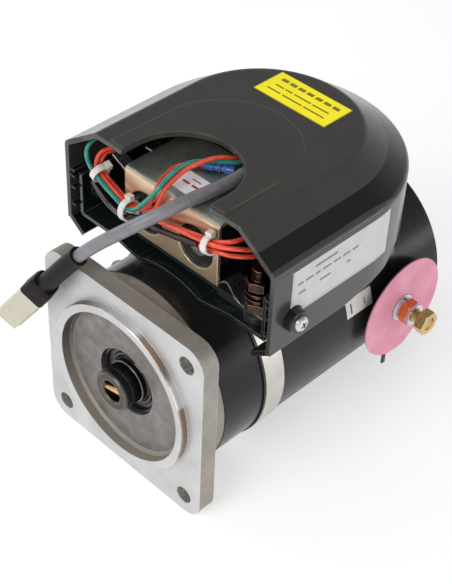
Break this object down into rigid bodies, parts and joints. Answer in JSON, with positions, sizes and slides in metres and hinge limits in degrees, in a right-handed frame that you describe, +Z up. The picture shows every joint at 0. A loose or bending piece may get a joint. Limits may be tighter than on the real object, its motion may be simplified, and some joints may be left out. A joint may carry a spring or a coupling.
{
  "type": "electric motor",
  "caption": "Flange-mounted direct-current winch motor with a strapped-on covered contactor pack, side power terminals and a short plugged control cable.",
  "frame": {"origin": "centre of the flange's front mounting face, on the shaft's axis", "axes": "-Y out of the drive end, +Y towards the brush end, +X to the right seen from the drive end, +Z up through the contactor cover"},
  "size_m": [0.167, 0.2214, 0.1819],
  "materials": {
    "flange_casting": "machined front face, as-cast sides",
    "seal_rubber": "satin black",
    "spring_steel": "dark",
    "bearing_steel": "ground",
    "black_paint": "gloss black",
    "ferrite": "matt",
    "zinc_steel": "bright zinc plate",
    "insulation_board": "phenolic",
    "brass": "turned",
    "black_moulding": "satin",
    "pink_board": "mottled pressed board",
    "black_nylon": "satin",
    "stainless": "satin",
    "yellow_passivate": "yellow passivated zinc",
    "coil_tape": "taped winding",
    "copper": "copper",
    "tinned_copper": "tinned",
    "cover_moulding": "satin dark grey",
    "yellow_film": "plain film",
    "white_film": "plain film",
    "natural_nylon": "translucent natural",
    "green_pvc": "satin",
    "red_pvc": "satin",
    "blue_nylon": "satin",
    "grey_pvc": "satin",
    "lamination_steel": "stacked sheets",
    "carbon": "pressed carbon"
  },
  "bodies": {
    "motor_body": {"drive_end_flange": "flange_casting", "shaft_seal": "seal_rubber", "front_circlip": "spring_steel", "bearing_outer_rings": "bearing_steel", "yoke_tube": "black_paint", "field_magnets": "ferrite", "rear_end_cap": "black_paint", "rear_wave_washer": "spring_steel", "through_bolts": "zinc_steel", "brush_plate": "insulation_board", "brush_holders": "brass", "brush_springs": "spring_steel", "terminal_studs": "brass", "terminal_bushes": "black_moulding", "terminal_discs": "pink_board", "terminal_washers": "zinc_steel", "terminal_nuts": "brass", "terminal_tie": "black_nylon", "strap_band": "stainless", "strap_liner": "seal_rubber", "strap_screw": "stainless", "contactor_tray": "black_paint", "contactor_frame": "yellow_passivate", "contactor_coils": "coil_tape", "contact_housing": "black_moulding", "power_studs": "copper", "busbar": "brass", "side_stud": "copper", "tinned_strap": "tinned_copper", "spade_terminals": "tinned_copper", "cover": "cover_moulding", "cover_grommets": "seal_rubber", "cover_screws": "stainless", "caution_label": "yellow_film", "white_labels": "white_film", "wire_ties": "natural_nylon", "green_wire": "green_pvc", "red_wires": "red_pvc", "diode_sleeves": "black_nylon", "crimp_connector": "blue_nylon", "control_cable": "grey_pvc", "cable_sleeve": "black_nylon", "cable_connector": "natural_nylon"},
    "rotor": {"motor_shaft": "bearing_steel", "coupling_sleeve": "bearing_steel", "coupling_band": "spring_steel", "drive_pin": "brass", "bearing_inner_rings": "bearing_steel", "armature_core": "lamination_steel", "armature_winding": "copper", "commutator": "copper", "commutator_hub": "insulation_board"},
    "front_balls": {"front_bearing_balls": "bearing_steel"},
    "rear_balls": {"rear_bearing_balls": "bearing_steel"},
    "brush_1": {"brush_1": "carbon"},
    "brush_2": {"brush_2": "carbon"},
    "brush_3": {"brush_3": "carbon"},
    "brush_4": {"brush_4": "carbon"},
    "plunger_left": {"plunger_left": "zinc_steel"},
    "plunger_right": {"plunger_right": "zinc_steel"}
  },
  "joints": [
    {"name": "rotor_spin", "type": "hinge", "parent": "motor_body", "child": "rotor", "pos_m": [0, 0, 0], "axis": [0, 1, 0], "continuous": true},
    {"name": "front_balls_orbit", "type": "hinge", "parent": "motor_body", "child": "front_balls", "pos_m": [0, 0.019, 0], "axis": [0, 1, 0], "continuous": true},
    {"name": "rear_balls_orbit", "type": "hinge", "parent": "motor_body", "child": "rear_balls", "pos_m": [0, 0.1885, 0], "axis": [0, 1, 0], "continuous": true},
    {"name": "brush_1_lift", "type": "slide", "parent": "motor_body", "child": "brush_1", "axis": [0.7071, 0, 0.7071], "range_m": [0, 0.0025], "stiffness_N_per_m": 400, "springref_m": -0.002},
    {"name": "brush_2_lift", "type": "slide", "parent": "motor_body", "child": "brush_2", "axis": [-0.7071, 0, 0.7071], "range_m": [0, 0.0025], "stiffness_N_per_m": 400, "springref_m": -0.002},
    {"name": "brush_3_lift", "type": "slide", "parent": "motor_body", "child": "brush_3", "axis": [-0.7071, 0, -0.7071], "range_m": [0, 0.0025], "stiffness_N_per_m": 400, "springref_m": -0.002},
    {"name": "brush_4_lift", "type": "slide", "parent": "motor_body", "child": "brush_4", "axis": [0.7071, 0, -0.7071], "range_m": [0, 0.0025], "stiffness_N_per_m": 400, "springref_m": -0.002},
    {"name": "plunger_left_stroke", "type": "slide", "parent": "motor_body", "child": "plunger_left", "axis": [0, 1, 0], "range_m": [0, 0.003], "stiffness_N_per_m": 300},
    {"name": "plunger_right_stroke", "type": "slide", "parent": "motor_body", "child": "plunger_right", "axis": [0, 1, 0], "range_m": [0, 0.003], "stiffness_N_per_m": 300}
  ],
  "couplings": [
    {"joint": "front_balls_orbit", "follows": "rotor_spin", "ratio": 0.3877},
    {"joint": "rear_balls_orbit", "follows": "rotor_spin", "ratio": 0.39}
  ]
}
